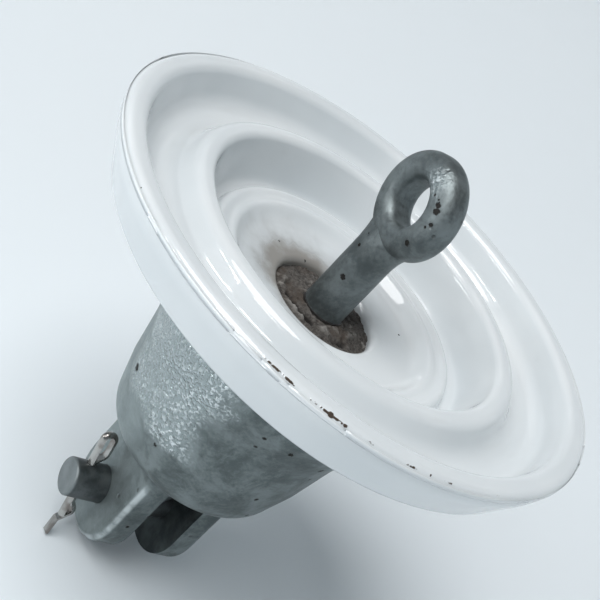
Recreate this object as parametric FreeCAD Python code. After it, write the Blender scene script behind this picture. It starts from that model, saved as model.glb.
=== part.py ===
"""Clevis and eye disc suspension insulator, 165 mm disc, 140 mm spacing.

Frame: millimetres, +Z up along the axis of the insulator, from the clevis cap to
the eye.  The origin is the middle of the clevis pin.  The clevis pin and the bore
of the eye both lie along Y; the cotter end of the clevis pin is at -Y.
"""
import FreeCAD, Part
import math
import os

V = FreeCAD.Vector
ORIGIN = V(0, 0, 0)
AXIS_X = V(1, 0, 0)
AXIS_Y = V(0, 1, 0)
AXIS_Z = V(0, 0, 1)

# --- driving dimensions ----------------------------------------------------
SPACING = 140.0            # clevis pin centre to eye centre
DISC_RADIUS = 82.5
RIM_Z = 120.0              # plane on which the rim of the disc ends

# clevis
LUG_HALF_WIDTH = 18.0      # also the radius of the round lug ends
LUG_INNER_Y = 8.0          # half the width of the slot
LUG_OUTER_Y = 16.5
SLOT_TOP_Z = 21.5
SLOT_CORNER = 4.0
PIN_HOLE_RADIUS = 6.43
LUG_EDGE_RADIUS = 2.6
CROWN_FILLET = 4.0
CROWN_TOP_Z = 28.0         # the lugs meet the crown below this height

# clevis pin and cotter
PIN_RADIUS = 6.35
PIN_END_Y = -29.0
PIN_HEAD_RADIUS = 10.0
PIN_HEAD_LENGTH = 5.0
PIN_HEAD_GAP = 0.3
COTTER_Y = -23.4           # where the cotter crosses the clevis pin
COTTER_LEAN = 19.0         # degrees between the cotter and the axis
COTTER_RADIUS = 1.55       # the two half-round legs together
COTTER_HOLE_RADIUS = 1.62
COTTER_GAP = 0.06          # between the flats of the legs

# eye pin
EYE_RADIUS = 16.0
EYE_HALF_THICKNESS = 5.25
EYE_BORE_RADIUS = 7.15
SHANK_RADIUS = 6.8
FOOT_Z = 48.0
PIN_COAT = 0.5

# porcelain
HEAD_TOP_Z = 33.0          # closed end of the hollow head
HEAD_TOP_RADIUS = 27.5
NECK_RADIUS = 26.5
NECK_Z = 81.5
SHOULDER_RADIUS = 78.2
SHOULDER_Z = 104.6
CAVITY_END_Z = 45.0
CAVITY_END_RADIUS = 14.8
CAVITY_MOUTH_RADIUS = 17.6
CAVITY_MOUTH_Z = 98.0
SAND_THICKNESS = 1.1
OUTER_SAND = (43.0, 75.0)  # lowest and highest z of each band of grit
INNER_SAND = (53.0, 89.0)

# cap
CAP_FLOOR_Z = 29.3         # inside of the crown
SKIRT_Z = 82.5
CAP_COAT = 0.6
CEMENT_EDGE_Z = 81.3       # the cement stops a little inside the skirt


# --- outlines --------------------------------------------------------------
def rounded_outline(corners):
    """Closed wire in the XZ plane through (r, z, radius) corners, each rounded."""
    count = len(corners)
    points = [V(r, 0, z) for r, z, _ in corners]
    entries, arcs = [], []
    for i, (_, _, radius) in enumerate(corners):
        corner = points[i]
        if radius == 0:
            entries.append((corner, corner))
            arcs.append(None)
            continue
        back = (points[i - 1] - corner).normalize()
        ahead = (points[(i + 1) % count] - corner).normalize()
        half_angle = back.getAngle(ahead) / 2
        reach = radius / math.tan(half_angle)
        start = corner + back * reach
        end = corner + ahead * reach
        bisector = (back + ahead).normalize()
        centre = corner + bisector * (radius / math.sin(half_angle))
        entries.append((start, end))
        arcs.append(Part.Arc(start, centre - bisector * radius, end).toShape())
    edges = []
    for i in range(count):
        if arcs[i] is not None:
            edges.append(arcs[i])
        line_start = entries[i][1]
        line_end = entries[(i + 1) % count][0]
        if line_start.distanceToPoint(line_end) > 1e-6:
            edges.append(Part.LineSegment(line_start, line_end).toShape())
    return Part.Wire(edges)


def turned(corners):
    """Solid of revolution about Z of a rounded outline."""
    return Part.Face(rounded_outline(corners)).revolve(ORIGIN, AXIS_Z, 360)


def along_y(shape_about_z, centre):
    """Turn a shape built about +Z so that it lies along +Y through a centre."""
    turned_shape = shape_about_z.copy()
    turned_shape.rotate(ORIGIN, AXIS_X, -90)
    turned_shape.translate(centre)
    return turned_shape


def on_line(start, end, z):
    """Radius at height z on the straight line between two (r, z) points."""
    share = (z - start[1]) / (end[1] - start[1])
    return start[0] + share * (end[0] - start[0])


HEAD_SIDE = ((HEAD_TOP_RADIUS, HEAD_TOP_Z), (NECK_RADIUS, NECK_Z))
CAVITY_SIDE = ((CAVITY_END_RADIUS, CAVITY_END_Z), (CAVITY_MOUTH_RADIUS, CAVITY_MOUTH_Z))


# --- porcelain -------------------------------------------------------------
def porcelain_shell():
    """Hollow head, disc, rounded rim, one tall rib and two low ones."""
    outline = [
        (0, HEAD_TOP_Z, 0),
        (HEAD_TOP_RADIUS, HEAD_TOP_Z, 6),
        (NECK_RADIUS, NECK_Z, 4),
        (SHOULDER_RADIUS - 1.5, SHOULDER_Z - 1.2, 4),
        (DISC_RADIUS, RIM_Z - 4.0, 14),
        (DISC_RADIUS, RIM_Z, 2.0),
        (75.5, RIM_Z, 3.2),
        (72.0, RIM_Z - 12.0, 6),
        (62.0, RIM_Z - 12.5, 7),
        (57.0, RIM_Z - 4.0, 4),
        (51.5, RIM_Z - 4.0, 2.6),
        (47.5, RIM_Z - 21.0, 2.8),
        (44.0, RIM_Z - 20.5, 1.2),
        (42.5, RIM_Z - 15.5, 2.2),
        (38.6, RIM_Z - 17.8, 2.5),
        (36.0, RIM_Z - 16.6, 2.2),
        (32.0, RIM_Z - 21.0, 5),
        (CAVITY_MOUTH_RADIUS, CAVITY_MOUTH_Z, 2.2),
        (CAVITY_END_RADIUS, CAVITY_END_Z, 4),
        (0, CAVITY_END_Z, 0),
    ]
    return turned(outline)


def sand_band(side, outward, span):
    """Band of grit on one wall of the head, following the taper of the wall."""
    low, high = span
    step = SAND_THICKNESS * outward
    wall_low = on_line(*side, low)
    wall_high = on_line(*side, high)
    outline = [
        (wall_low, low, 0),
        (wall_low + step, low, 0),
        (wall_high + step, high, 0),
        (wall_high, high, 0),
    ]
    return turned(outline)


# --- cap -------------------------------------------------------------------
def cap_cavity(coat):
    """Space inside the bell, less a coat on its wall."""
    outline = [
        (0, CAP_FLOOR_Z + coat, 0),
        (29.8 - coat, CAP_FLOOR_Z + coat, 7),
        (31.4 - coat, 55, 20),
        (35.4 - coat, 75, 3),
        (33.4 - coat, 79, 3),
        (33.4 - coat, SKIRT_Z + 5, 0),
        (0, SKIRT_Z + 5, 0),
    ]
    return turned(outline)


def cap_bell():
    """Outside of the bell: domed crown, round shoulder, flared skirt."""
    outline = [
        (0, 20.5, 0),
        (17, 21.5, 12),
        (30.5, 30.5, 11),
        (34.3, 46, 16),
        (37.0, 64, 24),
        (41.6, 77, 6),
        (41.6, SKIRT_Z, 1.8),
        (33.4, SKIRT_Z, 0),
        (0, SKIRT_Z, 0),
    ]
    return turned(outline)


def lug_block():
    """Both lugs as one block with a round end, before the slot is cut."""
    root_z = 34.0
    y_end = V(0, LUG_OUTER_Y, 0)
    left = V(-LUG_HALF_WIDTH, 0, 0)
    right = V(LUG_HALF_WIDTH, 0, 0)
    up = V(0, 0, root_z)
    edges = [
        Part.Arc(left - y_end, V(0, 0, -LUG_HALF_WIDTH) - y_end, right - y_end).toShape(),
        Part.LineSegment(right - y_end, right + up - y_end).toShape(),
        Part.LineSegment(right + up - y_end, left + up - y_end).toShape(),
        Part.LineSegment(left + up - y_end, left - y_end).toShape(),
    ]
    return Part.Face(Part.Wire(edges)).extrude(y_end * 2)


def lug_outline_edges(body):
    """Edges round the outer face of each lug: the round end and the upright sides."""
    found = []
    for edge in body.Edges:
        box = edge.BoundBox
        upright = box.XLength < 0.01 and box.YLength < 0.01 and box.ZMax < CROWN_TOP_Z
        if upright or box.ZMin < -LUG_HALF_WIDTH / 2:
            found.append(edge)
    return found


def crown_edges(body):
    """Edges where the lugs run into the crown."""
    found = []
    for edge in body.Edges:
        box = edge.BoundBox
        inside_x = max(abs(box.XMin), abs(box.XMax)) < LUG_HALF_WIDTH + 0.05
        inside_y = max(abs(box.YMin), abs(box.YMax)) < LUG_OUTER_Y + 0.05
        if inside_x and inside_y and box.ZMin > SLOT_TOP_Z - 1 and box.ZMax < CROWN_TOP_Z:
            found.append(edge)
    return found


def slot_cutter():
    """The slot that takes the eye of the next unit, with round inner corners."""
    depth = LUG_HALF_WIDTH + 5
    box = Part.makeBox(
        4 * LUG_HALF_WIDTH, 2 * LUG_INNER_Y, SLOT_TOP_Z + depth,
        V(-2 * LUG_HALF_WIDTH, -LUG_INNER_Y, -depth))
    corner_edges = [
        edge for edge in box.Edges
        if edge.BoundBox.ZLength < 0.01 and edge.BoundBox.YLength < 0.01
        and edge.BoundBox.ZMin > 0
    ]
    return box.makeFillet(SLOT_CORNER, corner_edges)


def clevis_cap():
    """Galvanised casting: bell with a cavity, two lugs, one slot, one pin hole."""
    body = cap_bell().fuse(lug_block()).removeSplitter()
    body = body.makeFillet(LUG_EDGE_RADIUS, lug_outline_edges(body))
    body = body.makeFillet(CROWN_FILLET, crown_edges(body))
    hole = Part.makeCylinder(
        PIN_HOLE_RADIUS, 4 * LUG_OUTER_Y, V(0, -2 * LUG_OUTER_Y, 0), AXIS_Y)
    return body.cut(cap_cavity(0)).cut(slot_cutter()).cut(hole)


# --- inside the cap --------------------------------------------------------
def head_cushion_disc():
    """Cork disc between the crown of the cap and the closed end of the head."""
    bottom = CAP_FLOOR_Z + CAP_COAT
    return Part.makeCylinder(20, HEAD_TOP_Z - bottom, V(0, 0, bottom))


def cap_bitumen_coat():
    """Thin lining of the cavity of the cap."""
    lining = cap_cavity(0).cut(cap_cavity(CAP_COAT))
    return lining.common(below(CEMENT_EDGE_Z))


def cap_cement(sand, cushion):
    """Everything between the lining of the cap and the head of the porcelain."""
    fill = cap_cavity(CAP_COAT).common(below(CEMENT_EDGE_Z))
    return fill.cut(solid_head()).cut(sand).cut(cushion)


def solid_head():
    """The head without its cavity, so that a fill stops at its outside."""
    return turned([
        (0, HEAD_TOP_Z, 0),
        (HEAD_TOP_RADIUS, HEAD_TOP_Z, 6),
        (NECK_RADIUS, NECK_Z, 4),
        (SHOULDER_RADIUS - 1.5, SHOULDER_Z - 1.2, 0),
        (0, SHOULDER_Z - 1.2, 0),
    ])


def below(z):
    """A wide block that reaches up to a height."""
    return Part.makeCylinder(2 * DISC_RADIUS, z, ORIGIN)


# --- eye pin ---------------------------------------------------------------
def pin_stem(coat):
    """Foot and shank of the eye pin, thickened by a coat."""
    return turned([
        (0, FOOT_Z - coat, 0),
        (11.6 + coat, FOOT_Z - coat, 1.5),
        (12.0 + coat, FOOT_Z + 5, 1.5),
        (7.6 + coat, FOOT_Z + 13, 3),
        (9.6 + coat, FOOT_Z + 19, 1.5),
        (SHANK_RADIUS + coat, FOOT_Z + 26, 4),
        (SHANK_RADIUS + coat, RIM_Z - 6, 0),
        (0, RIM_Z - 6, 0),
    ])


def eye_ring():
    """Ring of the eye, nearly round in section, on an axis along Y."""
    half = EYE_HALF_THICKNESS
    ring = turned([
        (EYE_BORE_RADIUS, -half, 3.0),
        (EYE_RADIUS, -half, 4.3),
        (EYE_RADIUS, half, 4.3),
        (EYE_BORE_RADIUS, half, 3.0),
    ])
    return along_y(ring, V(0, 0, SPACING))


def ellipse_at(z, half_x, half_y):
    """Closed ellipse in a level plane."""
    if half_x == half_y:
        return Part.Wire([Part.Circle(V(0, 0, z), AXIS_Z, half_x).toShape()])
    ellipse = Part.Ellipse(V(half_x, 0, z), V(0, half_y, z), V(0, 0, z))
    return Part.Wire([ellipse.toShape()])


def neck():
    """Forged transition from the round shank to the flat eye."""
    sections = [
        ellipse_at(RIM_Z - 6, SHANK_RADIUS, SHANK_RADIUS),
        ellipse_at(RIM_Z, 7.2, 6.5),
        ellipse_at(RIM_Z + 4.5, 8.6, 5.8),
        ellipse_at(RIM_Z + 9, 11.2, 5.0),
    ]
    return Part.makeLoft(sections, True, False)


def eye_pin():
    """Forged pin: foot, shank, neck and eye in one piece."""
    bore = Part.makeCylinder(
        EYE_BORE_RADIUS, 4 * EYE_HALF_THICKNESS,
        V(0, -2 * EYE_HALF_THICKNESS, SPACING), AXIS_Y)
    return pin_stem(0).fuse([neck(), eye_ring()]).cut(bore).removeSplitter()


def pin_foot_cushion():
    """Cork disc between the foot of the pin and the end of the cavity."""
    top = FOOT_Z - PIN_COAT
    return Part.makeCylinder(9, top - CAVITY_END_Z, V(0, 0, CAVITY_END_Z))


def pin_bitumen_coat():
    """Thin coat on the buried length of the pin."""
    return pin_stem(PIN_COAT).cut(pin_stem(0)).common(below(CAVITY_MOUTH_Z - 1.0))


def pin_cement(sand, cushion):
    """Fill between the pin and the wall of the cavity, up to the mouth."""
    top = CAVITY_MOUTH_Z - 2.2
    top_radius = on_line(*CAVITY_SIDE, top)
    fill = turned([
        (0, CAVITY_END_Z, 0),
        (CAVITY_END_RADIUS, CAVITY_END_Z, 4),
        (top_radius, top, 0),
        (SHANK_RADIUS + 2.5, top + 1.6, 2),
        (0, top + 1.6, 0),
    ])
    return fill.cut(pin_stem(PIN_COAT)).cut(sand).cut(cushion)


# --- clevis pin and cotter -------------------------------------------------
def cotter_direction():
    """Unit vector along the cotter, towards its loop."""
    lean = math.radians(COTTER_LEAN)
    return V(-math.sin(lean), 0, math.cos(lean))


def clevis_pin():
    """Headed pin with a chamfered end and a cross hole for the cotter."""
    head_start = LUG_OUTER_Y + PIN_HEAD_GAP
    head_end = head_start + PIN_HEAD_LENGTH
    pin = turned([
        (0, PIN_END_Y, 0),
        (PIN_RADIUS, PIN_END_Y, 0.8),
        (PIN_RADIUS, head_start, 0),
        (PIN_HEAD_RADIUS, head_start, 0.6),
        (PIN_HEAD_RADIUS, head_end, 1.8),
        (0, head_end, 0),
    ])
    pin = along_y(pin, ORIGIN)
    direction = cotter_direction()
    start = V(0, COTTER_Y, 0) - direction * 2 * PIN_RADIUS
    hole = Part.makeCylinder(COTTER_HOLE_RADIUS, 4 * PIN_RADIUS, start, direction)
    return pin.cut(hole)


def half_round(point, tangent):
    """Section of a leg: its flat passes through the point, the round is outside."""
    side = AXIS_Y.cross(cotter_direction())
    outside = side.cross(tangent)
    depth = COTTER_RADIUS - COTTER_GAP / 2
    edge_a = point + side * COTTER_RADIUS
    edge_b = point - side * COTTER_RADIUS
    return Part.Face(Part.Wire([
        Part.Arc(edge_a, point + outside * depth, edge_b).toShape(),
        Part.LineSegment(edge_b, edge_a).toShape(),
    ]))


def bent_wire(corners):
    """Half-round wire along (along, across, bend radius) points in the cotter's plane."""
    direction = cotter_direction()
    points = [V(0, COTTER_Y + across, 0) + direction * along for along, across, _ in corners]
    pieces = []
    start = points[0]
    for i in range(1, len(points) - 1):
        corner = points[i]
        back = (points[i - 1] - corner).normalize()
        ahead = (points[i + 1] - corner).normalize()
        half_angle = back.getAngle(ahead) / 2
        radius = corners[i][2]
        reach = radius / math.tan(half_angle)
        bisector = (back + ahead).normalize()
        centre = corner + bisector * (radius / math.sin(half_angle))
        bend_start = corner + back * reach
        bend_angle = 180 - 2 * math.degrees(half_angle)
        axis = ahead.cross(back)
        pieces.append(half_round(start, -back).extrude(bend_start - start))
        pieces.append(half_round(bend_start, -back).revolve(centre, axis, bend_angle))
        start = corner + ahead * reach
    tail = points[-1] - start
    tangent = V(tail).normalize()
    pieces.append(half_round(start, tangent).extrude(tail))
    return pieces[0].fuse(pieces[1:]).removeSplitter()


def cotter_pin():
    """Half-round wire folded into an eye; the long leg has a hump beyond the pin."""
    flat = COTTER_GAP / 2
    return bent_wire([
        (-14.2, -flat, 0),
        (17.2, -flat, 1.45),
        (17.2, 3.0, 1.45),
        (10.4, 3.0, 2.4),
        (7.4, flat, 2.0),
        (-8.6, flat, 2.0),
        (-11.6, 2.3, 1.4),
        (-15.6, -1.9, 2.0),
        (-21.4, -2.8, 0),
    ])


# --- build and write -------------------------------------------------------
def build():
    """Every node by name."""
    outer_sand = sand_band(HEAD_SIDE, 1, OUTER_SAND)
    inner_sand = sand_band(CAVITY_SIDE, -1, INNER_SAND)
    head_cushion = head_cushion_disc()
    foot_cushion = pin_foot_cushion()
    return {
        "porcelain_shell": porcelain_shell(),
        "outer_sand_band": outer_sand,
        "inner_sand_band": inner_sand,
        "clevis_cap": clevis_cap(),
        "cap_bitumen_coat": cap_bitumen_coat(),
        "cap_cement": cap_cement(outer_sand, head_cushion),
        "head_cushion_disc": head_cushion,
        "eye_pin": eye_pin(),
        "pin_bitumen_coat": pin_bitumen_coat(),
        "pin_cement": pin_cement(inner_sand, foot_cushion),
        "pin_foot_cushion": foot_cushion,
        "clevis_pin": clevis_pin(),
        "cotter_pin": cotter_pin(),
    }


os.makedirs("parts", exist_ok=True)
for name, shape in build().items():
    shape.exportStep("parts/" + name + ".step")
    print(name, "solids", len(shape.Solids), "valid", shape.isValid(),
          "volume", round(shape.Volume, 1))
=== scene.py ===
"""Looks for the clevis and eye disc suspension insulator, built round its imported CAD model.

Frame: metres, +Z up along the axis of the insulator from the clevis cap to the eye, origin
at the middle of the clevis pin, which lies along Y.  The outlines below are written in
millimetres and turned into metres by MM.
"""

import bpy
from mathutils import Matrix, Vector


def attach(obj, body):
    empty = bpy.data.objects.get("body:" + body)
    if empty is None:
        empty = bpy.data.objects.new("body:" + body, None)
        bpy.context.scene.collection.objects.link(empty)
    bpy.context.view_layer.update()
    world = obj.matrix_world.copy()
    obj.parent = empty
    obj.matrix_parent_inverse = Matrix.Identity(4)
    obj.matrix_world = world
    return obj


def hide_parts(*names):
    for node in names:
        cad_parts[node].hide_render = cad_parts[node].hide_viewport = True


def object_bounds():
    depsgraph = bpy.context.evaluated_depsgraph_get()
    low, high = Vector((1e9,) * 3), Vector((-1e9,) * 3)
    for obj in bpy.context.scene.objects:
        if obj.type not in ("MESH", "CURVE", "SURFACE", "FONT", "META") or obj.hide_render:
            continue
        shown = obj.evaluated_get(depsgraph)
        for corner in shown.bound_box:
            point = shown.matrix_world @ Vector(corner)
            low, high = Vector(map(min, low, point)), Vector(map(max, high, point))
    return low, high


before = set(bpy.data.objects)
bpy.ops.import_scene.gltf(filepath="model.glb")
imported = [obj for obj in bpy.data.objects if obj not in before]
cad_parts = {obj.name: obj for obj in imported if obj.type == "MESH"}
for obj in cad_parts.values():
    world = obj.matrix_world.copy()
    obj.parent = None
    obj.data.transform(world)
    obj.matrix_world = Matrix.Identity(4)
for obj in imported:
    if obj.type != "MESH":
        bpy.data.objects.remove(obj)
CAD_BOX = [list(corner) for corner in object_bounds()]

import math

import bpy
import numpy as np
from mathutils import Matrix, Vector, noise

MM = 0.001
ARC_STEP = 7.0               # largest step round a rounding, in degrees

# --- sizes, in millimetres -------------------------------------------------
RIM_Z = 120.0
DISC_RADIUS = 82.5
EDGE_RADIUS = 2.6            # rounding of the outer edge of the rim
CAVITY_MOUTH = (17.6, 98.0)  # radius and height of the mouth round the eye pin
CAVITY_END = (14.8, 45.0)
SHANK_RADIUS = 6.8
CEMENT_Z = 95.8              # height of the cement at the wall; it rises towards the shank
CEMENT_RISE = 1.4
CEMENT_DEPTH = 14.0          # of the collar of cement, down from the mouth
CEMENT_SPACING = 0.28        # rows of its rough face, in mm apart
CEMENT_LIMITS = (-3.0, 1.6)  # deepest crevice and highest lump
LUG_HALF_WIDTH, LUG_OUTER_Y = 18.0, 16.5
SLOT_HALF_WIDTH, SLOT_TOP_Z = 8.0, 21.5  # half the gap between the lugs, and its top
FLOOR_DROP = 0.25            # gap between the lowest point and the floor

# Stretch of the rim where the glaze of the edge is chipped, in degrees from +X to +Y
CHIP_START, CHIP_END = -46.0, 13.0
CHIP_FINE = -20.0             # beyond this angle the damage is only a hairline
CHIP_DEPTH = 0.22
CHIP_MARGIN = 2.0             # the fine mesh runs on this far past the chips, in degrees
FINE_STEP, COARSE_STEP = 0.13, 0.6  # columns of the porcelain, in degrees apart
RIM_REACH = 3.5               # rows this close to the edge are looked at for chips, in mm
GLAZE_SPACING = 0.9           # rows of the porcelain, in mm apart
SOFTENING_PASSES = 14         # how far the glaze rounds off the low ridges
# Deeper flakes: degrees, half length in millimetres
FLAKES = [(-29.0, 1.25), (-26.0, 0.6), (-37.5, 0.4), (-8.0, 0.35)]

# Black specks burnt into the glaze: place and radius in millimetres
SPECKS = [
    ((3.0, -74.7, 119.7), 0.34),
    ((10.2, -72.4, 118.6), 0.26),
    ((-21.0, -12.3, 98.4), 0.42),
    ((-18.0, -2.2, 97.4), 0.40),
    ((2.2, 28.2, 98.8), 0.36),
    ((14.1, -80.9, 119.1), 0.30),
    ((-60.6, 35.0, 107.6), 0.30),
]

# Middle of the dust that has spread from the cement over the glaze, in metres
DUST_MIDDLE = (-0.006, -0.0055, 0.0965)

# Larger bare spots where the zinc did not take: place and radius in millimetres
CAP_SPOTS = [
    ((-2.1, -34.9, 50.5), 1.25),
    ((19.4, -27.3, 42.9), 0.7),
    ((40.0, -6.3, 74.0), 0.9),
    ((37.4, 9.8, 68.8), 0.8),
]
EYE_SPOTS = [
    ((10.6, -5.1, 147.8), 0.85),
    ((11.6, -4.9, 146.6), 0.95),
    ((7.1, -5.3, 148.6), 0.40),
    ((13.5, -4.6, 143.3), 0.60),
    ((14.6, -3.8, 145.0), 0.30),
    ((12.9, -5.1, 141.6), 0.38),
    ((9.3, -5.2, 148.9), 0.30),
    ((12.1, -5.0, 134.5), 0.90),
    ((-0.1, -6.4, 120.7), 0.60),
    ((3.6, -5.7, 111.2), 0.85),
    ((-1.4, -5.9, 124.8), 0.35),
]


# --- outlines --------------------------------------------------------------
def rounded(corners, longest):
    """Points along an open outline of (r, z, rounding) corners, at most `longest` mm apart."""
    points = [Vector((r, z)) for r, z, _ in corners]
    stops = []
    for i, (_, _, radius) in enumerate(corners):
        corner = points[i]
        if radius == 0:
            stops.append([corner])
            continue
        back = (points[i - 1] - corner).normalized()
        ahead = (points[i + 1] - corner).normalized()
        half_angle = back.angle(ahead) / 2
        centre = corner + (back + ahead).normalized() * (radius / math.sin(half_angle))
        start = corner + back * (radius / math.tan(half_angle)) - centre
        sweep = start.angle_signed(corner + ahead * (radius / math.tan(half_angle)) - centre)
        steps = max(
            3,
            math.ceil(abs(math.degrees(sweep)) / ARC_STEP),
            math.ceil(abs(sweep) * radius / longest))
        arc = []
        for k in range(steps + 1):
            turn = Matrix.Rotation(-sweep * k / steps, 2)
            arc.append(centre + turn @ start)
        stops.append(arc)
    outline = []
    for arc, next_arc in zip(stops, stops[1:]):
        outline.extend(arc)
        here, there = arc[-1], next_arc[0]
        pieces = math.ceil((there - here).length / longest)
        outline.extend(here.lerp(there, k / pieces) for k in range(1, pieces))
    outline.extend(stops[-1])
    kept = [outline[0]]
    for point in outline[1:]:
        if (point - kept[-1]).length > 1e-4:
            kept.append(point)
    return np.array([tuple(p) for p in kept])


def outline_normals(outline, closed):
    """Unit normals in the (r, z) plane, to the left of the direction of travel."""
    if closed:
        along = np.roll(outline, -1, axis=0) - np.roll(outline, 1, axis=0)
    else:
        along = np.gradient(outline, axis=0)
    along /= np.linalg.norm(along, axis=1)[:, None]
    return np.stack([-along[:, 1], along[:, 0]], axis=1)


def lathe(name, outline, degrees, closed, offset):
    """Solid of revolution in metres; offset(points, normals) moves each point along its normal."""
    angle = np.radians(degrees)
    columns, rows = len(angle), len(outline)
    normals = outline_normals(outline, closed)
    spin = np.stack([np.cos(angle), np.sin(angle)], axis=1)

    def around(pairs):
        full = np.empty((columns, rows, 3))
        full[:, :, 0] = spin[:, 0, None] * pairs[None, :, 0]
        full[:, :, 1] = spin[:, 1, None] * pairs[None, :, 0]
        full[:, :, 2] = pairs[None, :, 1]
        return full

    points, directions = around(outline), around(normals)
    points += directions * offset(points, directions)[:, :, None]
    index = np.arange(columns * rows).reshape(columns, rows)
    next_column = np.roll(index, -1, axis=0)
    if closed:
        low, high = index, np.roll(index, -1, axis=1)
        low_next, high_next = next_column, np.roll(next_column, -1, axis=1)
    else:
        low, high = index[:, :-1], index[:, 1:]
        low_next, high_next = next_column[:, :-1], next_column[:, 1:]
    quads = np.stack([low, high, high_next, low_next], axis=2).reshape(-1, 4)
    mesh = bpy.data.meshes.new(name)
    mesh.from_pydata((points.reshape(-1, 3) * MM).tolist(), [], quads.tolist())
    mesh.validate()
    mesh.shade_smooth()
    piece = bpy.data.objects.new(name, mesh)
    bpy.context.scene.collection.objects.link(piece)
    return piece


def gentle_waves(points, wavelength, seed):
    """Smooth unevenness between about -1 and 1, a sum of waves in random directions."""
    draw = np.random.default_rng(seed)
    total = np.zeros(points.shape[:2])
    for _ in range(9):
        direction = draw.normal(size=3)
        direction /= np.linalg.norm(direction)
        pace = 2 * math.pi / (wavelength * draw.uniform(0.7, 1.6))
        total += np.sin(points @ direction * pace + draw.uniform(0, 2 * math.pi))
    return total / 3.5


# --- materials -------------------------------------------------------------
class Shader:
    """Node tree of one material, with short calls for the nodes used here."""

    def __init__(self, name, **fixed):
        self.material = bpy.data.materials.new(name)
        self.material.use_nodes = True
        self.tree = self.material.node_tree
        self.surface = self.tree.nodes["Principled BSDF"]
        for socket, value in fixed.items():
            self.surface.inputs[socket.replace("_", " ")].default_value = value
        coordinates = self.tree.nodes.new("ShaderNodeTexCoord")
        self.place = coordinates.outputs["Object"]

    def link(self, output, target):
        self.tree.links.new(output, target)
        return output

    def set(self, socket, output):
        self.link(output, self.surface.inputs[socket])

    def feed(self, target, value):
        if isinstance(value, bpy.types.NodeSocket):
            self.link(value, target)
        else:
            target.default_value = value

    def noise(self, size, detail=3.0, rough=0.55, distortion=0.0, place=None):
        """Noise between 0 and 1 whose features are about `size` mm across."""
        node = self.tree.nodes.new("ShaderNodeTexNoise")
        self.link(place or self.place, node.inputs["Vector"])
        node.inputs["Scale"].default_value = 1000.0 / size
        node.inputs["Detail"].default_value = detail
        node.inputs["Roughness"].default_value = rough
        node.inputs["Distortion"].default_value = distortion
        return node.outputs["Fac"]

    def cells(self, size, output="Distance"):
        """Cells about `size` mm across: distance from the middle of each, or a colour for each."""
        node = self.tree.nodes.new("ShaderNodeTexVoronoi")
        self.link(self.place, node.inputs["Vector"])
        node.inputs["Scale"].default_value = 1000.0 / size
        return node.outputs[output]

    def stretched(self, scale):
        """Coordinates scaled along the axes, for streaks."""
        node = self.tree.nodes.new("ShaderNodeMapping")
        self.link(self.place, node.inputs["Vector"])
        node.inputs["Scale"].default_value = scale
        return node.outputs["Vector"]

    def axis(self, name):
        """X, Y or Z of the place on the object, in metres."""
        node = self.tree.nodes.new("ShaderNodeSeparateXYZ")
        self.link(self.place, node.inputs["Vector"])
        return node.outputs[name]

    def math(self, operation, first, second=0.0):
        node = self.tree.nodes.new("ShaderNodeMath")
        node.operation = operation
        self.feed(node.inputs[0], first)
        self.feed(node.inputs[1], second)
        return node.outputs[0]

    def between(self, value, low, high, to_low=0.0, to_high=1.0):
        """Smooth step of a value from low..high to to_low..to_high."""
        node = self.tree.nodes.new("ShaderNodeMapRange")
        node.interpolation_type = "SMOOTHSTEP"
        self.feed(node.inputs["Value"], value)
        node.inputs["From Min"].default_value = low
        node.inputs["From Max"].default_value = high
        node.inputs["To Min"].default_value = to_low
        node.inputs["To Max"].default_value = to_high
        return node.outputs["Result"]

    def mix(self, share, first, second):
        """Colour between two colours."""
        node = self.tree.nodes.new("ShaderNodeMix")
        node.data_type = "RGBA"
        self.feed(node.inputs[0], share)
        for socket, value in ((node.inputs[6], first), (node.inputs[7], second)):
            if isinstance(value, tuple):
                socket.default_value = (*value, 1.0)
            else:
                self.link(value, socket)
        return node.outputs[2]

    def attribute(self, name):
        """Value stored on the mesh, such as the depth of a chip."""
        node = self.tree.nodes.new("ShaderNodeAttribute")
        node.attribute_name = name
        return node.outputs["Fac"]

    def distance(self, centre):
        """Distance in metres from a point of the object."""
        node = self.tree.nodes.new("ShaderNodeVectorMath")
        node.operation = "DISTANCE"
        self.link(self.place, node.inputs[0])
        node.inputs[1].default_value = centre
        return node.outputs["Value"]

    def spots(self, marks, ragged):
        """Blots at fixed places: 1 inside, 0 outside, with ragged edges."""
        wander = self.math("MULTIPLY", self.math("SUBTRACT", ragged, 0.5), 2.2)
        nearest = None
        for centre, radius in marks:
            reach = self.math("DIVIDE", self.distance([c * MM for c in centre]), radius * MM)
            nearest = reach if nearest is None else self.math("MINIMUM", nearest, reach)
        return self.between(self.math("ADD", nearest, wander), 0.75, 1.15, 1.0, 0.0)

    def bump(self, height, depth, under=None):
        """Bump of `depth` mm; returns the normal, on top of another bump if given."""
        node = self.tree.nodes.new("ShaderNodeBump")
        node.inputs["Strength"].default_value = 1.0
        node.inputs["Distance"].default_value = depth * MM
        self.link(height, node.inputs["Height"])
        if under is not None:
            self.link(under, node.inputs["Normal"])
        return node.outputs["Normal"]


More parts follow.
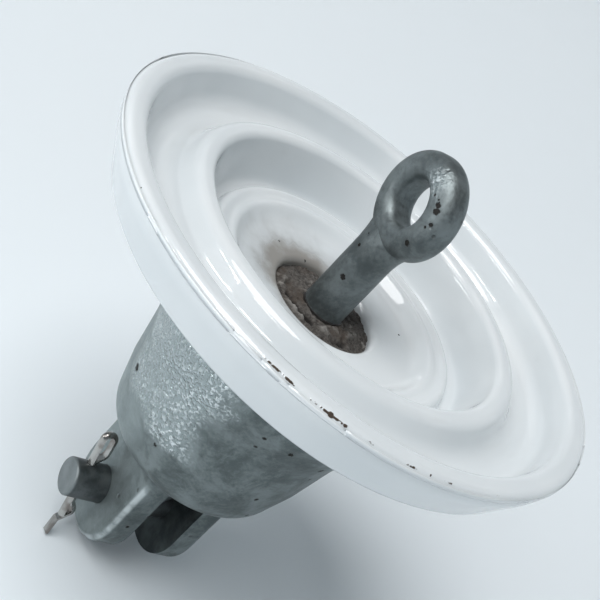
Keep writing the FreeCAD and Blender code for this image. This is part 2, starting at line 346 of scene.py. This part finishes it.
def white_glaze():
    """Cool white glaze: very glossy, slightly wavy, chipped to a brown body on the rim."""
    s = Shader("white_glaze", Metallic=0.0, IOR=1.52, Coat_Weight=0.25, Coat_Roughness=0.03)
    cloud = s.noise(38, detail=2.0)
    white = s.mix(s.between(cloud, 0.35, 0.7), (0.69, 0.73, 0.75), (0.745, 0.78, 0.795))
    from_pin = s.distance(DUST_MIDDLE)
    dusty_zone = s.math("ADD", from_pin, s.math("MULTIPLY", s.noise(7, detail=5.0), 0.012))
    haze = s.between(dusty_zone, 0.0225, 0.0345, 0.55, 0.0)
    dust = s.between(dusty_zone, 0.0185, 0.0270, 0.80, 0.0)
    white = s.mix(haze, white, (0.40, 0.41, 0.41))
    white = s.mix(dust, white, (0.20, 0.18, 0.155))
    smear = s.math("MULTIPLY", s.between(s.noise(22, detail=6.0, rough=0.7), 0.60, 0.78), 0.16)
    white = s.mix(smear, white, (0.46, 0.47, 0.47))
    white = s.mix(s.spots(SPECKS, s.noise(0.5)), white, (0.03, 0.027, 0.025))
    broken = s.math("ADD", s.attribute("chip"), s.math("MULTIPLY", s.noise(0.7, detail=3.0), 0.5))
    chip = s.between(broken, 0.55, 0.80)
    body = s.mix(s.noise(0.9, detail=3.0), (0.016, 0.012, 0.010), (0.085, 0.055, 0.035))
    s.set("Base Color", s.mix(chip, white, body))
    gloss = s.between(s.noise(9, detail=4.0), 0.3, 0.75, 0.045, 0.10)
    dull = s.math("MAXIMUM", s.math("MULTIPLY", dust, 0.75), s.math("MULTIPLY", chip, 0.85))
    s.set("Roughness", s.math("MAXIMUM", gloss, dull))
    ripple = s.bump(s.noise(9, detail=1.0), 0.025)
    s.set("Normal", s.bump(s.noise(1.6, detail=1.0), 0.002, under=ripple))
    return s.material


def galvanised(name, light, dark, peel_and_sheen_zone, pits, marks, slot_shade=None):
    """Weathered hot-dip zinc: mottled grey, small black pits, and orange peel in places, where it is also
    painted lighter with painted glints as sheen.
    """
    s = Shader(name, Metallic=0.82, Specular_IOR_Level=0.5)
    # Zone of orange peel; below, the same zone is also painted lighter and given painted glints.
    peel = peel_and_sheen_zone(s)
    mottle = s.noise(9, detail=6.0, rough=0.65, distortion=0.4)
    fine = s.noise(1.6, detail=4.0, rough=0.7)
    tone = s.math("ADD", s.math("MULTIPLY", mottle, 0.7), s.math("MULTIPLY", fine, 0.3))
    colour = s.mix(s.between(tone, 0.38, 0.62), dark, light)
    stain = s.between(s.noise(26, detail=5.0, rough=0.6), 0.50, 0.70)
    colour = s.mix(s.math("MULTIPLY", stain, 0.5), colour, tuple(c * 0.55 for c in dark))
    # Painted light: the peel zone is painted paler, as sheen from the light.
    colour = s.mix(s.math("MULTIPLY", peel, 0.8), colour, tuple(c * 2.0 for c in light))
    skin = s.noise(1.15, detail=1.4, rough=0.5, distortion=0.5)
    # Painted highlights: bright worm-like glints painted on the high points of the peel.
    painted_glints = s.math("MULTIPLY", s.between(skin, 0.48, 0.66), s.between(peel, 0.15, 0.8))
    painted_glints = s.math("MULTIPLY", painted_glints, s.between(s.noise(10, detail=2.0), 0.36, 0.56, 0.45, 1.0))
    colour = s.mix(painted_glints, colour, (0.72, 0.77, 0.79))
    # Clevis cap only: painted light on the -Y side, painted shade in the slot and painted highlights on the
    # lug edges.
    if slot_shade is not None:
        # Painted light: the lug face and cap on the -Y side, towards low X, are painted paler where the
        # light falls.
        minus_y_side = s.between(s.axis("Y"), -0.019, -0.012, 1.0, 0.0)
        ragged_x = s.math("ADD", s.axis("X"), s.math("MULTIPLY", s.noise(12), 0.010))
        painted_light_share = s.between(ragged_x, 0.012, 0.028, 0.55, 0.0)
        colour = s.mix(s.math("MULTIPLY", minus_y_side, painted_light_share), colour, tuple(c * 1.7 for c in light))
        # Painted shade: the slot between the lugs is painted near black.
        colour = s.mix(slot_shade(s), colour, (0.02, 0.022, 0.024))
        # Painted highlight: a bright band along the edges of the lug faces.
        colour = s.mix(painted_edge_highlight(s), colour, (0.62, 0.67, 0.68))
    chance = s.between(s.noise(17, detail=2.0), 0.50, 0.62)
    hole = s.between(s.cells(pits), 0.07, 0.15, 1.0, 0.0)
    bare = s.spots(marks, s.noise(0.9, detail=4.0, rough=0.7))
    pit = s.math("MAXIMUM", s.math("MULTIPLY", hole, chance), bare)
    s.set("Base Color", s.mix(s.math("MULTIPLY", pit, 0.88), colour, (0.022, 0.017, 0.014)))
    rough = s.math("SUBTRACT", s.between(fine, 0.3, 0.7, 0.44, 0.60), s.math("MULTIPLY", peel, 0.34))
    s.set("Roughness", s.math("MAXIMUM", rough, s.math("MULTIPLY", pit, 0.8)))
    normal = s.bump(s.noise(5.5, detail=2.0), 0.20)
    normal = s.bump(s.math("MULTIPLY", skin, peel), 1.3, under=normal)
    normal = s.bump(s.noise(0.9, detail=2.0), 0.035, under=normal)
    s.set("Normal", s.bump(s.math("SUBTRACT", 1.0, pit), 0.45, under=normal))
    return s.material


def painted_edge_highlight(s):
    """Painted highlight along the edge round the outer face of each lug."""
    x, z = s.axis("X"), s.axis("Z")
    below = s.math("MINIMUM", z, 0.0)
    squares = s.math("ADD", s.math("POWER", s.math("ABSOLUTE", x), 2.0),
                     s.math("POWER", s.math("ABSOLUTE", below), 2.0))
    out = s.math("POWER", squares, 0.5)
    outline = s.between(out, (LUG_HALF_WIDTH - 2.0) * MM, (LUG_HALF_WIDTH - 1.1) * MM)
    face = s.between(s.math("ABSOLUTE", s.axis("Y")), (LUG_OUTER_Y - 2.0) * MM, (LUG_OUTER_Y - 1.1) * MM)
    low = s.between(z, 0.019, 0.024, 1.0, 0.0)
    patchy = s.between(s.noise(9, detail=4.0), 0.40, 0.60, 0.10, 0.75)
    return s.math("MULTIPLY", s.math("MULTIPLY", outline, face), s.math("MULTIPLY", low, patchy))


def painted_slot_shade(s):
    """Painted shade on the faces of the slot between the lugs, where light does not reach."""
    across = s.math("ABSOLUTE", s.axis("Y"))
    inside = s.between(across, SLOT_HALF_WIDTH * MM - 0.0005, SLOT_HALF_WIDTH * MM + 0.0004, 1.0, 0.0)
    low = s.between(s.axis("Z"), (SLOT_TOP_Z - 0.1) * MM, (SLOT_TOP_Z + 0.3) * MM, 1.0, 0.0)
    return s.math("MULTIPLY", s.math("MULTIPLY", inside, low), 0.94)


def peel_and_sheen_towards(degrees, spread, low, high):
    """Orange peel, also painted lighter with painted glints, on one side of the axis, between two heights in
    millimetres.
    """
    def facing(s):
        x, y = s.axis("X"), s.axis("Y")
        angle = math.radians(degrees)
        ahead = s.math("ADD", s.math("MULTIPLY", x, math.cos(angle)), s.math("MULTIPLY", y, math.sin(angle)))
        radius = s.math("POWER", s.math("ADD", s.math("POWER", x, 2.0), s.math("POWER", y, 2.0)), 0.5)
        turned = s.math("DIVIDE", ahead, s.math("MAXIMUM", radius, 0.001))
        ragged = s.math("SUBTRACT", s.noise(16, detail=3.0), 0.5)
        around = s.between(s.math("ADD", turned, s.math("MULTIPLY", ragged, 0.35)),
                           math.cos(math.radians(spread + 16)), math.cos(math.radians(spread - 10)))
        height = s.math("ADD", s.axis("Z"), s.math("MULTIPLY", ragged, 0.022))
        above = s.between(height, (low - 4) * MM, (low + 4) * MM)
        below = s.between(height, (high - 3) * MM, (high + 3) * MM, 1.0, 0.0)
        return s.math("MAXIMUM", s.math("MULTIPLY", around, s.math("MULTIPLY", above, below)), 0.06)
    return facing


def peel_and_sheen_at(centre, radius):
    """Orange peel, also painted lighter with painted glints, that fades away from one place; radius in
    millimetres.
    """
    def facing(s):
        reach = s.distance([c * MM for c in centre])
        ragged = s.math("ADD", reach, s.math("MULTIPLY", s.noise(3), 0.003))
        return s.between(ragged, 0.0, radius * MM, 0.75, 0.06)
    return facing


def pin_steel():
    """Dull zinc on turned bar: sides painted darker than the cut ends as shade, with marks round the pin."""
    s = Shader("pin_steel", Metallic=0.85)
    tone = s.noise(5, detail=6.0, rough=0.65)
    # Painted shade: the sides of the pin are darker than its cut ends.
    side = s.mix(s.between(tone, 0.35, 0.65), (0.075, 0.083, 0.085), (0.135, 0.148, 0.151))
    end = s.mix(s.between(tone, 0.30, 0.70), (0.17, 0.19, 0.195), (0.25, 0.275, 0.28))
    at_end = s.between(s.math("ABSOLUTE", s.axis("Y")), 0.0278, 0.0288)
    s.set("Base Color", s.mix(at_end, side, end))
    s.set("Roughness", s.between(s.noise(2.5, detail=4.0), 0.3, 0.7, 0.40, 0.56))
    turning = s.noise(1.2, detail=2.0, place=s.stretched((0.15, 1.0, 0.15)))
    normal = s.bump(turning, 0.03)
    s.set("Normal", s.bump(s.noise(2.4, detail=3.0), 0.10, under=normal))
    return s.material


def stainless_wire():
    """Drawn wire with fine lines along it, bright on the crests and tarnished brown between."""
    s = Shader("stainless_wire", Metallic=1.0)
    tarnish = s.between(s.noise(4.5, detail=1.0), 0.36, 0.62)
    s.set("Base Color", s.mix(tarnish, (0.44, 0.435, 0.42), (0.23, 0.208, 0.192)))
    lines = s.noise(0.35, detail=3.0, place=s.stretched((1.0, 1.0, 0.12)))
    s.set("Roughness", s.between(lines, 0.3, 0.7, 0.14, 0.28))
    s.set("Normal", s.bump(lines, 0.004))
    return s.material


def cement():
    """Rough brown-grey cement with pale grains, lighter where it stands higher, and painted shade in its
    crevices.
    """
    s = Shader("cement", Metallic=0.0, Roughness=0.93)
    grain = s.noise(1.1, detail=8.0, rough=0.75)
    colour = s.mix(s.between(grain, 0.34, 0.66), (0.035, 0.031, 0.028), (0.12, 0.11, 0.10))
    pale = s.between(s.noise(4.0, detail=6.0, rough=0.6), 0.58, 0.74)
    colour = s.mix(s.math("MULTIPLY", pale, 0.7), colour, (0.36, 0.345, 0.32))
    brown = s.between(s.noise(9.0, detail=4.0), 0.46, 0.66)
    colour = s.mix(s.math("MULTIPLY", brown, 0.7), colour, (0.060, 0.045, 0.034))
    # Lighter where the cement stands higher.
    stands_high = s.between(s.attribute("height"), -0.2, 0.9, 0.0, 0.6)
    colour = s.mix(stands_high, colour, (0.33, 0.32, 0.30))
    # Painted shade: the crevices are painted dark where the cement lies low.
    crevice_shade = s.between(s.attribute("height"), -1.7, -0.75, 0.92, 0.0)
    s.set("Base Color", s.mix(crevice_shade, colour, (0.012, 0.010, 0.009)))
    normal = s.bump(grain, 0.30)
    s.set("Normal", s.bump(s.noise(0.5, detail=4.0, rough=0.8), 0.10, under=normal))
    return s.material


def grit():
    """Crushed porcelain fired on to the glaze."""
    s = Shader("porcelain_grit", Roughness=0.7)
    grain = s.cells(0.9)
    s.set("Base Color", s.mix(s.between(grain, 0.1, 0.7), (0.80, 0.79, 0.76), (0.55, 0.54, 0.52)))
    s.set("Normal", s.bump(grain, 0.3))
    return s.material


def bitumen():
    """Brushed black coat."""
    s = Shader("bitumen", IOR=1.6)
    s.set("Base Color", s.mix(s.noise(4, detail=5.0), (0.012, 0.012, 0.013), (0.035, 0.032, 0.03)))
    s.set("Roughness", s.between(s.noise(2, detail=3.0), 0.3, 0.7, 0.3, 0.6))
    s.set("Normal", s.bump(s.noise(1.0, detail=3.0), 0.1))
    return s.material


def cork():
    """Pressed cork granules."""
    s = Shader("cork", Roughness=0.9)
    granule = s.cells(2.2, output="Color")
    shade = s.between(s.noise(1.0, detail=4.0), 0.3, 0.7)
    colour = s.mix(shade, (0.30, 0.18, 0.09), (0.55, 0.38, 0.22))
    s.set("Base Color", s.mix(s.math("MULTIPLY", granule, 0.35), colour, (0.20, 0.11, 0.05)))
    s.set("Normal", s.bump(s.cells(2.2), 0.3))
    return s.material


# --- porcelain -------------------------------------------------------------
PORCELAIN = [
    (0.02, 33.0, 0),
    (27.5, 33.0, 6),
    (26.5, 81.5, 4),
    (76.7, 103.4, 4),
    (DISC_RADIUS, 116.0, 14),
    (DISC_RADIUS, RIM_Z, EDGE_RADIUS),
    (75.5, RIM_Z, 3.2),
    (72.0, 108.0, 6),
    (62.0, 107.5, 7),
    (57.0, 116.0, 4),
    (51.5, 116.0, 2.6),
    (47.5, 99.0, 2.8),
    (44.0, 99.5, 1.2),
    (42.5, 104.5, 2.2),
    (38.6, 102.2, 2.5),
    (36.0, 103.4, 2.2),
    (32.0, 99.0, 5),
    (*CAVITY_MOUTH, 2.2),
    (*CAVITY_END, 4),
    (0.02, 45.0, 0),
]


def softened(outline):
    """Outline with the low ridges between the tall rib and the mouth rounded off by the glaze."""
    r, z = outline.T
    soft = (z > 95) & (r > 19.5) & (r < 49)
    for _ in range(SOFTENING_PASSES):
        middle = outline.copy()
        middle[1:-1] = 0.25 * outline[:-2] + 0.5 * outline[1:-1] + 0.25 * outline[2:]
        outline = np.where(soft[:, None], middle, outline)
    return outline


def chip_amount(point):
    """How badly the edge of the rim is chipped at a point, from 0 to 1."""
    x, y, z = point
    middle = EDGE_RADIUS * (1 - math.sqrt(0.5))
    off_edge = math.hypot(math.hypot(x, y) - DISC_RADIUS + middle, z - RIM_Z + middle)
    angle = math.degrees(math.atan2(y, x))
    inside = min(angle - CHIP_START, CHIP_END - angle)
    if off_edge > 2.0 or inside < 0:
        return 0.0
    ragged = noise.noise(Vector(point) * 0.45) + 0.5 * noise.noise(Vector(point) * 1.9)
    fade = min(1.0, max(0.0, (CHIP_FINE - angle) / 8 + 0.5))
    width = 0.16 + 0.05 * fade + (0.12 + 0.11 * fade) * ragged
    amount = 0.0
    if width > 0.05:
        amount = min(1.0, 1.6 * max(0.0, 1 - off_edge / width)) * min(1.0, inside / 4)
    for place, half_length in FLAKES:
        along = math.radians(angle - place) * DISC_RADIUS / half_length
        reach = math.hypot(along, off_edge / (0.55 * half_length + 0.1)) + 0.5 * ragged
        amount = max(amount, min(1.0, max(0.0, 1.5 * (1 - reach) + 0.2)))
    return amount


def porcelain_piece(material):
    """Fine lathe of the shell with a wavy glaze and chips knocked out of the rim."""
    coarse = np.arange(CHIP_END + CHIP_MARGIN, 360 + CHIP_START - CHIP_MARGIN, COARSE_STEP)
    fine = np.arange(CHIP_START - CHIP_MARGIN, CHIP_END + CHIP_MARGIN, FINE_STEP)
    degrees = np.concatenate([fine, coarse])
    outline = softened(rounded(PORCELAIN, GLAZE_SPACING))
    chips = {}

    def offset(points, normals):
        wave = gentle_waves(points, 30, 5) * 0.05 + gentle_waves(points, 13, 9) * 0.006
        wave[:, outline[:, 1] < 95] *= 0.2
        amount = np.zeros(wave.shape)
        near_edge = np.hypot(outline[:, 0] - DISC_RADIUS, outline[:, 1] - RIM_Z) < RIM_REACH
        for row in np.nonzero(near_edge)[0]:
            for column in range(len(fine)):
                amount[column, row] = chip_amount(points[column, row])
        chips["amount"] = amount
        return -wave - CHIP_DEPTH * amount

    piece = lathe("porcelain", outline, degrees, False, offset)
    layer = piece.data.attributes.new("chip", "FLOAT", "POINT")
    layer.data.foreach_set("value", chips["amount"].reshape(-1).astype(np.float32))
    piece.data.materials.append(material)
    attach(piece, "insulator")
    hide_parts("porcelain_shell")


# --- cement round the eye pin ----------------------------------------------
# Crevices and lumps in the cement: degrees, radius, half length round, half width, height (mm)
CEMENT_RELIEF = [
    (-70.0, 11.6, 2.6, 1.0, -2.6),
    (-46.0, 10.8, 2.4, 1.1, -3.0),
    (-58.0, 12.2, 1.2, 0.7, -1.6),
    (-92.0, 12.6, 1.8, 0.7, -2.0),
    (-52.0, 13.6, 1.5, 1.0, 0.9),
    (-66.0, 13.9, 1.2, 0.8, 1.2),
    (-78.0, 14.6, 1.6, 0.9, 0.8),
    (-24.0, 11.0, 3.0, 1.6, 0.8),
    (-120.0, 14.5, 2.2, 1.2, 0.9),
    (10.0, 13.5, 4.0, 1.6, -0.9),
    (55.0, 12.5, 4.0, 2.0, 0.6),
    (140.0, 12.0, 5.0, 2.0, -0.7),
]


def cement_height(x, y):
    """Height of the trowelled cement above or below its smooth slope, in millimetres."""
    radius, angle = math.hypot(x, y), math.degrees(math.atan2(y, x))
    height = 0.65 * noise.noise(Vector((x, y, 3.0)) * 0.22) - 0.5
    height += 0.6 * noise.noise(Vector((x, y, 8.0)) * 0.55) + 0.34 * noise.noise(Vector((x, y, 1.0)) * 1.5)
    for degrees, middle, half_length, half_width, depth in CEMENT_RELIEF:
        turn = (angle - degrees + 180) % 360 - 180
        along = math.radians(turn) * middle / half_length
        height += depth * math.exp(-along ** 2 - ((radius - middle) / half_width) ** 2)
    return height


def cement_piece(material):
    """Collar of rough cement between the shank and the wall of the cavity."""
    wall = CAVITY_END[0] + (CAVITY_MOUTH[0] - CAVITY_END[0]) * (
        (CEMENT_Z - CAVITY_END[1]) / (CAVITY_MOUTH[1] - CAVITY_END[1]))
    bottom = CAVITY_MOUTH[1] - CEMENT_DEPTH
    top = [(r, CEMENT_Z + CEMENT_RISE * (wall - r) / (wall - SHANK_RADIUS))
           for r in np.arange(wall, SHANK_RADIUS - 0.5, -CEMENT_SPACING)]
    low_wall = wall - 0.8
    outline = np.array([(SHANK_RADIUS - 0.3, bottom), (low_wall, bottom), *top])
    degrees = np.arange(0, 360, 1.0)
    first = 2
    heights = {}

    def offset(points, normals):
        amount = np.zeros(points.shape[:2])
        normals[:, first:] = (0.0, 0.0, 1.0)
        for column in range(len(degrees)):
            for row in range(first, len(outline)):
                x, y, _ = points[column, row]
                amount[column, row] = max(CEMENT_LIMITS[0], min(CEMENT_LIMITS[1], cement_height(x, y)))
        heights["amount"] = amount
        return amount

    piece = lathe("cement_collar", outline, degrees, True, offset)
    layer = piece.data.attributes.new("height", "FLOAT", "POINT")
    layer.data.foreach_set("value", heights["amount"].reshape(-1).astype(np.float32))
    piece.data.materials.append(material)
    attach(piece, "insulator")
    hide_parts("pin_cement")


# --- stage -----------------------------------------------------------------
CAMERA_PLACE = Vector((0.2337, -0.2080, 0.2579))
CAMERA_AZIMUTH, CAMERA_ELEVATION, CAMERA_ROLL = 49.5, 27.8, 43.3
LENS, SENSOR = 72.0, 36.0
SWEEP_START, SWEEP_RADIUS, WALL_HEIGHT = 3500.0, 2500.0, 5000.0  # the studio cove, in millimetres


def make_camera():
    """Camera above and to one side of the eye, rolled so that the axis leans across the picture."""
    azimuth, elevation = math.radians(CAMERA_AZIMUTH), math.radians(CAMERA_ELEVATION)
    back = Vector((
        math.sin(azimuth) * math.cos(elevation),
        -math.cos(azimuth) * math.cos(elevation),
        math.sin(elevation)))
    data = bpy.data.cameras.new("camera")
    data.lens, data.sensor_width = LENS, SENSOR
    data.clip_start, data.clip_end = 0.01, 100.0
    camera = bpy.data.objects.new("camera", data)
    level = (-back).to_track_quat("-Z", "Y").to_matrix()
    roll = Matrix.Rotation(math.radians(CAMERA_ROLL), 3, back)
    camera.matrix_world = Matrix.Translation(CAMERA_PLACE) @ (roll @ level).to_4x4()
    bpy.context.scene.collection.objects.link(camera)
    bpy.context.scene.camera = camera


# Soft panels and narrow tubes: direction seen from the object, distance, (width, height)
# in metres, power in watts
LIGHTS = {
    "tube_near": ((0.36, -0.66, 0.62), 1.6, (0.55, 0.035), 2.4),
    "tube_far": ((-0.06, -0.90, 0.50), 1.6, (0.55, 0.035), 2.8),
    "key": ((0.10, -0.80, 0.58), 1.6, (1.35, 1.10), 3.3),
    "window_low": ((-0.26, -0.96, 0.05), 1.3, (0.60, 0.13), 2.1),
    "panel_side": ((-0.72, 0.0, 0.69), 1.7, (1.4, 1.2), 1.7),
    "panel_back": ((0.05, 0.84, 0.53), 1.7, (1.2, 1.0), 0.6),
}
# The broad light from above
SKY_DIRECTION, SKY_ANGLE, SKY_STRENGTH = (0.03, -0.46, 1.0), 38.0, 2.08
WORLD_COLOUR, WORLD_STRENGTH = (0.90, 0.95, 1.0, 1.0), 0.06
LIGHT_TARGET = Vector((0.0, 0.0, 0.09))


def add_light(name, data, direction, distance):
    """Place a light on a line from the object, facing the object."""
    light = bpy.data.objects.new(name, data)
    towards = Vector(direction).normalized()
    aim = (-towards).to_track_quat("-Z", "Y").to_matrix()
    place = LIGHT_TARGET + towards * distance
    light.matrix_world = Matrix.Translation(place) @ aim.to_4x4()
    light.visible_camera = False
    bpy.context.scene.collection.objects.link(light)


def make_lights():
    """Broad soft light from above, panels and tubes round the object, dim surroundings."""
    world = bpy.data.worlds.new("studio")
    world.use_nodes = True
    sky = world.node_tree.nodes["Background"]
    sky.inputs["Color"].default_value = WORLD_COLOUR
    sky.inputs["Strength"].default_value = WORLD_STRENGTH
    bpy.context.scene.world = world
    above = bpy.data.lights.new("above", "SUN")
    above.angle = math.radians(SKY_ANGLE)
    above.energy = SKY_STRENGTH
    add_light("above", above, SKY_DIRECTION, 2.0)
    for name, (direction, distance, size, power) in LIGHTS.items():
        data = bpy.data.lights.new(name, "AREA")
        data.shape = "RECTANGLE"
        data.size, data.size_y = size
        data.energy = power
        add_light(name, data, direction, distance)


def make_floor():
    """Pale floor just under the clevis that sweeps up into a wall far away, all round."""
    low = CAD_BOX[0][2] / MM - FLOOR_DROP
    outline = [(0.02, low), (SWEEP_START, low)]
    for degrees in range(5, 91, 5):
        turn = math.radians(degrees)
        outline.append((
            SWEEP_START + SWEEP_RADIUS * math.sin(turn),
            low + SWEEP_RADIUS * (1 - math.cos(turn))))
    outline.append((SWEEP_START + SWEEP_RADIUS, low + WALL_HEIGHT))
    floor = lathe("floor", np.array(outline), np.arange(0, 360, 5.0), False,
                     lambda points, normals: np.zeros(points.shape[:2]))
    s = Shader("floor", Roughness=0.6)
    s.set("Base Color", s.mix(s.noise(400), (0.775, 0.83, 0.865), (0.80, 0.85, 0.88)))
    floor.data.materials.append(s.material)


# --- build -----------------------------------------------------------------
MATERIALS = {
    "outer_sand_band": grit(),
    "cap_bitumen_coat": bitumen(),
    "head_cushion_disc": cork(),
    "cap_cement": cement(),
    "clevis_cap": galvanised(
        "galvanised_iron", (0.205, 0.236, 0.238), (0.082, 0.100, 0.101),
        peel_and_sheen_towards(-68, 21, 46, 90), 6.0, CAP_SPOTS, painted_slot_shade),
    "eye_pin": galvanised(
        "galvanised_steel", (0.215, 0.245, 0.25), (0.10, 0.117, 0.12),
        peel_and_sheen_at((3.0, -5.2, 150.0), 9.0), 5.0, EYE_SPOTS),
    "clevis_pin": pin_steel(),
    "cotter_pin": stainless_wire(),
}
MATERIALS["inner_sand_band"] = MATERIALS["outer_sand_band"]
MATERIALS["pin_bitumen_coat"] = MATERIALS["cap_bitumen_coat"]
MATERIALS["pin_foot_cushion"] = MATERIALS["head_cushion_disc"]

for node, material in MATERIALS.items():
    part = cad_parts[node]
    part.data.materials.clear()
    part.data.materials.append(material)

porcelain_piece(white_glaze())
cement_piece(MATERIALS["cap_cement"])
make_floor()
make_lights()
make_camera()
bpy.context.scene.view_settings.view_transform = "Standard"
